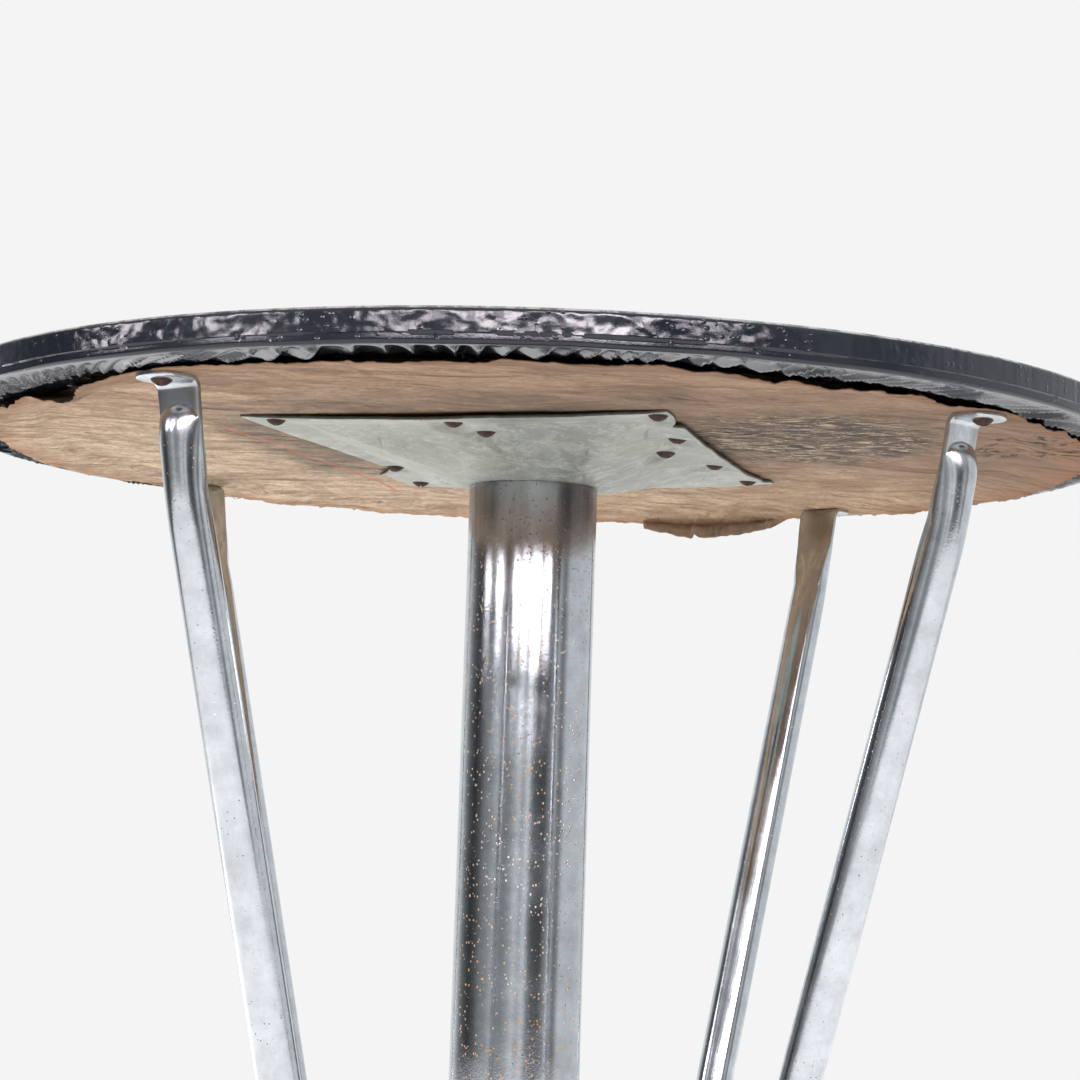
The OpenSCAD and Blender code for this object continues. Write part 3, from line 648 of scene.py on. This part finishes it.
def make_plate():
    """Sheet steel, pressed to a shallow pyramid, its cut edges bowed a little off the board."""
    nx, ny = 161, 181
    screws = plate_screw_places()
    verts = []
    bottom = PLATE_TOP - PLATE_T
    left_screw = screws[8][1] / (PLATE_L / 2)
    for j in range(ny):
        for i in range(nx):
            u, v = i / (nx - 1) * 2 - 1, j / (ny - 1) * 2 - 1
            x, y = u * PLATE_W / 2, v * PLATE_L / 2
            # The sheet was cut by hand: both sides run in, and the right one is nicked twice
            if u < 0:
                cut = 1 - 0.75 * step(v, left_screw, left_screw + 0.16)
                if v < left_screw:
                    cut = (v + 1) / (left_screw + 1)
                x += (15.5 * cut - 2.0 * (1 - cut)) * MM * abs(u) ** 5
            else:
                cut = 5.5 - 5.5 * step(v, 0.55, 1.0) + 0.9 * wave(v * 6, 1.7, 0)
                nick = bump_at(v, -0.76, 0.035) + 0.9 * bump_at(v, 0.86, 0.03)
                x -= (cut + 3.2 * nick) * MM * u**5
            y += 1.2 * MM * wave(u * 2.2, 5.1, 0) * abs(v) ** 6 * (1 if v > 0 else -1)
            depth = max(dish_depth(x + PLATE_OFF, y), 0)
            mid_u, mid_v = 1 - abs(u) ** 2.5, 1 - abs(v) ** 2.5
            side = max(abs(u), abs(v))
            if abs(v) > abs(u):
                bow = 2.4 * mid_u
            elif u > 0:
                bow = 2.6 * mid_v + 1.4 * bump_at(v, -0.76, 0.06) + 1.2 * bump_at(v, 0.86, 0.05)
            else:
                bow = 0.9 * mid_v + 1.6 * bump_at(v, left_screw + 0.12, 0.07)
            bow = (bow + 0.5 * wave(u * 4, v * 4, 3.3)) * step(side, 0.6, 1.0)
            depth += max(bow, 0) * MM
            for sx, sy, drop in screws:
                away = math.hypot(x - sx, y - sy)
                depth += (drop - depth) * (1 - step(away, 5.2 * MM, 13 * MM))
            depth += 0.5 * MM * wave(x * 45, y * 45, 0.7) * step(side, 0.4, 0.6) * (1 - step(side, 0.9, 1))
            verts.append((x + PLATE_OFF, y, bottom - depth))
    faces = quads(ny, nx, wrap_cols=False)
    spin = Matrix.Rotation(PLATE_TURN, 3, "Z")
    verts = [spin @ Vector(v) for v in verts]
    plate = add_mesh("pressed_mounting_plate", verts, faces, ZINC_SHEET,
                     ("mounting_plate",), 28)
    flip_down(plate)
    plate.data.materials.append(CUT_EDGE)
    thicken(plate, PLATE_T, -1).material_offset_rim = 1


def flip_down(obj):
    """Turns a sheet's faces so that they look down."""
    mesh = obj.data
    if sum(p.normal.z * p.area for p in mesh.polygons) > 0:
        mesh.flip_normals()


make_plate()


# ---------------------------------------------------------------- struts


def strut_path():
    """The strut's centre line in its radial plane: tab, bend, pressed end, tube, and the same at the foot."""
    mid = BEND_R + TAB_T / 2
    out, tab_top = math.cos(END_LEAN), math.sin(END_LEAN)
    tab_z = low("strut_top_screws").z + 2.6 * MM
    top_bend = Vector((STRUT_TOP_R - TAB_REACH, tab_z - BEND_R))
    foot_bend = Vector((STRUT_FOOT_R - TAB_REACH, BASE_TOP + TAB_T + BEND_R))
    top_end = top_bend + Vector((-out, tab_top)) * mid
    foot_end = foot_bend + Vector((-out, tab_top)) * mid
    down = Vector((-tab_top, -out))
    return top_bend, foot_bend, top_end, foot_end, down


def smooth_line(points, radius, spacing):
    """Points along a polyline whose corners are rounded."""
    line = [points[0]]
    for a, p, b in zip(points, points[1:], points[2:]):
        start, end = p + (a - p).normalized() * radius, p + (b - p).normalized() * radius
        for k in range(9):
            t = k / 8
            line.append((1 - t) ** 2 * start + 2 * t * (1 - t) * p + t * t * end)
    line.append(points[-1])
    out = [line[0]]
    for a, b in zip(line, line[1:]):
        n = max(1, round((b - a).length / spacing))
        out += [a + (b - a) * k / n for k in range(1, n + 1)]
    return out



def strut_ring(s, points=26):
    """One cross-section, s along from the bend: (outward, sideways, further along) for each point.

    The strap is flat at the bend. The tube's round end comes up out of it like a thumb tip, and the
    points on the outer face are slid along so that a ring follows the thumb tip's outline."""
    dome_from, dome_full, dome_arc = 6.5 * MM, 24 * MM, 9 * MM
    flat = TAB_T / 2
    inner = flat + (STRUT_R - flat) * step(s, 4 * MM, 62 * MM) ** 0.8
    square = 2 + 4 * (1 - step(s, 12 * MM, 44 * MM))
    slide = step(s, 0, 6 * MM) * (1 - step(s, 28 * MM, 62 * MM))
    half_width = STRUT_R + 2.6 * MM * (1 - step(s, -14 * MM, 36 * MM)) / (1 - step(0, -14 * MM, 36 * MM))
    if s <= dome_from:
        rise = 0.0
    else:
        rise = math.sqrt(1 - max((dome_full - s) / (dome_full - dome_from), 0) ** 2)
    out = []
    for side in (1, -1):
        for k in range(points):
            y = math.cos(math.pi * k / points) * side
            if side > 0:
                strap = flat * max(1 - abs(y) ** 6, 0) ** (1 / 6)
                x = strap + (STRUT_R * math.sqrt(max(1 - y * y, 0)) - strap) * rise
            else:
                x = -inner * max(1 - abs(y) ** square, 0) ** (1 / square)
            out.append((x, y * half_width, dome_arc * (1 - math.sqrt(max(1 - y * y, 0))) * slide))
    return out


def make_strut(name):
    """One strut: tab, bend, pressed end, round tube, and the same again at the foot."""
    top_bend, foot_bend, top_end, foot_end, down = strut_path()
    corners = [top_end, top_end + down * PRESS_L, foot_end - down * PRESS_L, foot_end]
    line = smooth_line(corners, 14 * MM, 0.8 * MM)
    lengths = [0.0]
    for a, b in zip(line, line[1:]):
        lengths.append(lengths[-1] + (b - a).length)
    total = lengths[-1]
    rings = []

    def tab_rings(bend, up):
        """From the tab's tip in to the bend's end, as rings of 3-D points in the radial plane."""
        out = []
        mid = BEND_R + TAB_T / 2
        z_mid = bend.y + (mid if up else -mid)
        screw_x = bend.x + TAB_REACH
        reach = STRUT_R
        for k in range(11):
            x = screw_x + reach * math.cos(math.pi / 2 * k / 10) if k else screw_x + reach * 0.999
            half = math.sqrt(max(reach**2 - (x - screw_x) ** 2, (0.6 * MM) ** 2))
            out.append((Vector((x, z_mid)), Vector((0, 1 if up else -1)), half))
        for f in (0.66, 0.33):
            out.append((Vector((bend.x + TAB_REACH * f, z_mid)), Vector((0, 1 if up else -1)), STRUT_R))
        sweep = math.pi / 2 - END_LEAN if up else math.pi / 2 + END_LEAN
        for k in range(9):
            a = sweep * k / 9
            radial = Vector((-math.sin(a), math.cos(a))) if up else Vector((-math.sin(a), -math.cos(a)))
            out.append((bend + radial * mid, radial, STRUT_R))
        return out

    def flat_ring(centre, away, half):
        """A tab's section, thinner towards its round tip."""
        pts = []
        thin = 0.45 + 0.55 * min(half / STRUT_R, 1)
        for x, y, _ in strut_ring(0.0):
            pts.append((centre - away * x * thin, y * half / STRUT_R))
        return pts

    for centre, away, half in tab_rings(top_bend, True):
        rings.append(flat_ring(centre, away, half))
    for i, (p, s) in enumerate(zip(line, lengths)):
        near_end = min(s, total - s)
        if (near_end > 75 * MM and i % 14) or (near_end > 24 * MM and i % 3):
            continue
        ahead = line[min(i + 1, len(line) - 1)] - line[max(i - 1, 0)]
        ahead.normalize()
        outward = Vector((-ahead.y, ahead.x))
        along = ahead if s < total / 2 else -ahead
        rings.append([(p + outward * x + along * slid, y) for x, y, slid in strut_ring(near_end)])
    for centre, away, half in reversed(tab_rings(foot_bend, False)):
        rings.append(flat_ring(centre, away, half))
    turn = math.radians(STRUT_TURNS[name])
    spin = Matrix.Rotation(turn, 3, "Z")
    verts = []
    for ring in rings:
        for p, y in ring:
            verts.append(spin @ Vector((p.x, y, p.y)))
    n = len(rings[0])
    faces = quads(len(rings), n)
    faces.append(tuple(range(n)))
    faces.append(tuple((len(rings) - 1) * n + k for k in reversed(range(n))))
    add_mesh(name + "_tube", verts, faces, STRUT_CHROME, (name,), 38)


for strut_name in STRUT_TURNS:
    make_strut(strut_name)


# ---------------------------------------------------------------- column and base


def make_column():
    """The tube, with its two ends open."""
    inside = COLUMN_R - COLUMN_WALL
    outline = [(inside, BASE_TOP), (COLUMN_R, BASE_TOP), (COLUMN_R, COLUMN_TOP), (inside, COLUMN_TOP)]
    lathe("chrome_column", rounded(outline, 0.5 * MM), CHROME, 256, replaces=("column_tube",))


def make_base():
    """The lacquered disc with a groove near its edge, its chrome band, and the flange round the column."""
    disc_r, band_r = round(high("base_disc").x, 4), round(high("base_trim_band").x, 4)
    edge = 4 * MM
    profile = [(0.2 * MM, BASE_Z), (disc_r, BASE_Z), (disc_r, BASE_TOP - edge)]
    for t in (0.3, 0.7, 1.1, math.pi / 2):
        profile.append((disc_r - edge + edge * math.cos(t), BASE_TOP - edge + edge * math.sin(t)))
    groove_r = disc_r - 19 * MM
    profile += [(groove_r + MM, BASE_TOP), (groove_r, BASE_TOP - 0.8 * MM), (groove_r - MM, BASE_TOP)]
    profile += [(0.2 * MM, BASE_TOP)]
    lathe("lacquered_base", profile, LACQUER, 256, replaces=("base_disc",), angle=30)
    z0, z1 = low("base_trim_band").z, high("base_trim_band").z
    band = rounded([(disc_r + 0.05 * MM, z0), (band_r, z0), (band_r, z1), (disc_r + 0.05 * MM, z1)], 0.5 * MM)
    lathe("base_band", band, CHROME, 256, replaces=("base_trim_band",))
    flange_r, collar = round(high("column_foot_flange").x, 4), high("column_foot_flange").z
    bore = COLUMN_R + 0.2 * MM
    plate_top = BASE_TOP + 3 * MM
    flange = [(bore, BASE_TOP), (flange_r, BASE_TOP), (flange_r, plate_top), (bore + 6 * MM, plate_top),
              (bore + 3 * MM, plate_top + 3 * MM), (bore + 3 * MM, collar), (bore, collar)]
    lathe("foot_flange", rounded(flange, 1.2 * MM), CHROME, 192, replaces=("column_foot_flange",))


make_column()
make_base()


# ---------------------------------------------------------------- stage, light and camera


CAMERA_TURN, CAMERA_LENS = -4.64, 82.63
CAMERA_DISTANCE, CAMERA_DROP = 1.273, 0.1826
CAMERA_YAW, CAMERA_PITCH, CAMERA_ROLL = 0.19, 6.14, 1.86
FLOOR_R = 3.0
# How white the backdrop is to the camera
BACKDROP = 0.905
# The room that chrome mirrors: bearing from the camera's side in degrees, and how bright it is there
ROOM = [
    (-180, 0.9), (-147, 0.92), (-130, 0.3), (-120, 0.14), (-106, 0.05), (-92, 0.12), (-80, 0.30),
    (-68, 0.40), (-57, 0.62), (-49, 0.36), (-37, 0.34), (-28, 0.5), (-18, 0.85), (-10, 0.55), (-1, 0.95),
    (5, 0.35), (10, 0.16), (18, 0.11), (28, 0.10), (37, 0.34), (47, 0.7), (54, 0.30), (59, 0.30),
    (68, 0.84), (180, 0.9),
]
# Each lamp's first and last bearing, and its share of the glow
LAMPS = [(-96, -87, 0.5), (-70, -62, 0.7), (-37, -30, 0.7), (-22, -14, 0.9), (-5, 9, 1.0), (17, 27, 0.5)]
LAMP_GLOW = 25.0


def make_stage():
    """A pale round floor."""
    mesh = bpy.data.meshes.new("floor")
    corners = 128
    turns = [2 * math.pi * k / corners for k in range(corners)]
    ring = [(FLOOR_R * math.cos(a), FLOOR_R * math.sin(a), 0) for a in turns]
    mesh.from_pydata(ring, [], [tuple(range(corners))])
    floor = bpy.data.objects.new("floor", mesh)
    bpy.context.scene.collection.objects.link(floor)
    mesh.materials.append(plain("floor_paint", (0.78, 0.78, 0.78), (0.82, 0.82, 0.82), 3, 0.8, depth=0.0))


def make_world():
    """Soft white all round for the camera. What chrome mirrors is a studio: bright right, dark left."""
    world = bpy.data.worlds.new("studio")
    bpy.context.scene.world = world
    world.use_nodes = True
    tree = world.node_tree
    tree.nodes.clear()

    def add(kind, inputs=None, **props):
        return add_node(tree, kind, inputs, **props).outputs

    x, y, z = add("ShaderNodeSeparateXYZ", {0: add("ShaderNodeTexCoord")["Generated"]})
    to_front = add("ShaderNodeMath", {0: y, 1: -1}, operation="MULTIPLY")[0]
    bearing = add("ShaderNodeMath", {0: x, 1: to_front}, operation="ARCTAN2")[0]
    part = add("ShaderNodeMapRange", {"Value": bearing, "From Min": -math.pi, "From Max": math.pi})[0]

    def by_bearing(stops, tint):
        node = add_node(tree, "ShaderNodeValToRGB", {"Fac": part})
        turned = [((degrees - CAMERA_TURN + 180) / 360, bright) for degrees, bright in stops]
        set_stops(node, [(at, [bright * share for share in tint]) for at, bright in turned])
        return node.outputs[0]

    # High and low, the room is soft white
    inputs = {"Value": z, "From Min": 0.30, "From Max": 0.62}
    high = add("ShaderNodeMapRange", inputs, interpolation_type="SMOOTHSTEP")[0]
    inputs = {0: high, 6: by_bearing(ROOM, (0.97, 1.0, 1.02)), 7: (1.0, 1.0, 1.0, 1)}
    room = add("ShaderNodeMix", inputs, data_type="RGBA")[2]
    # A row of lamps above the camera, picked up by the rim and by the top of the column
    lamp_stops = [(-180, 0)]
    for start, end, bright in LAMPS:
        lamp_stops += [(start - 3, 0), (start, bright), (end, bright), (end + 3, 0)]
    lamps = by_bearing(lamp_stops, (1.0, 0.93, 0.98))
    above = add("ShaderNodeMapRange", {"Value": z, "From Min": 0.175, "From Max": 0.22})[0]
    below = add("ShaderNodeMapRange", {"Value": z, "From Min": 0.36, "From Max": 0.30})[0]
    band = add("ShaderNodeMath", {0: above, 1: below}, operation="MULTIPLY")[0]
    glow = add("ShaderNodeMath", {0: band, 1: LAMP_GLOW}, operation="MULTIPLY")[0]
    shine = add("ShaderNodeVectorMath", {0: lamps, "Scale": glow}, operation="SCALE")[0]
    mirrored = add("ShaderNodeVectorMath", {0: room, 1: shine}, operation="ADD")[0]
    lit = add("ShaderNodeBackground", {0: mirrored, 1: 1.0})[0]
    seen = add("ShaderNodeBackground", {0: (BACKDROP, BACKDROP, BACKDROP, 1)})[0]
    from_camera = add("ShaderNodeLightPath")["Is Camera Ray"]
    add("ShaderNodeOutputWorld", {0: add("ShaderNodeMixShader", {0: from_camera, 1: lit, 2: seen})[0]})


def area_light(name, place, target, size, power):
    data = bpy.data.lights.new(name, "AREA")
    data.shape, data.size, data.size_y, data.energy = "RECTANGLE", size[0], size[1], power
    light = bpy.data.objects.new(name, data)
    bpy.context.scene.collection.objects.link(light)
    light.location = place
    light.rotation_mode = "QUATERNION"
    light.rotation_quaternion = (Vector(target) - Vector(place)).to_track_quat("-Z", "Y")
    return light


def make_camera():
    """Stands in front and below the top, looking up a little, as the photograph was taken."""
    data = bpy.data.cameras.new("camera")
    cam = bpy.data.objects.new("camera", data)
    bpy.context.scene.collection.objects.link(cam)
    data.lens, data.sensor_width = CAMERA_LENS, 36
    data.clip_start, data.clip_end = 0.05, 50
    yaw, pitch, roll = (math.radians(a) for a in (CAMERA_YAW, CAMERA_PITCH, CAMERA_ROLL))
    ahead = Vector((math.sin(yaw) * math.cos(pitch), math.cos(yaw) * math.cos(pitch), math.sin(pitch)))
    right = Vector((math.cos(yaw), -math.sin(yaw), 0))
    up = right.cross(ahead)
    tilted_right = math.cos(roll) * right + math.sin(roll) * up
    tilted_up = -math.sin(roll) * right + math.cos(roll) * up
    turn = Matrix.Rotation(math.radians(CAMERA_TURN), 4, "Z")
    pose = Matrix((tilted_right, tilted_up, -ahead)).transposed().to_4x4()
    pose.translation = Vector((0, -CAMERA_DISTANCE, RIM_Z - CAMERA_DROP))
    cam.matrix_world = turn @ pose
    bpy.context.scene.camera = cam


make_stage()
make_world()
area_light("floor_wash", (0.3, -0.4, 3.2), (0, 0, 0), (3.2, 3.2), 82)
skim = area_light("low_back", (-1.5, 1.5, 0.25), (0, 0, RIM_Z), (0.6, 0.4), 42)
skim.visible_glossy = False
make_camera()
scene = bpy.context.scene
scene.view_settings.view_transform = "Standard"
scene.view_settings.look = "None"
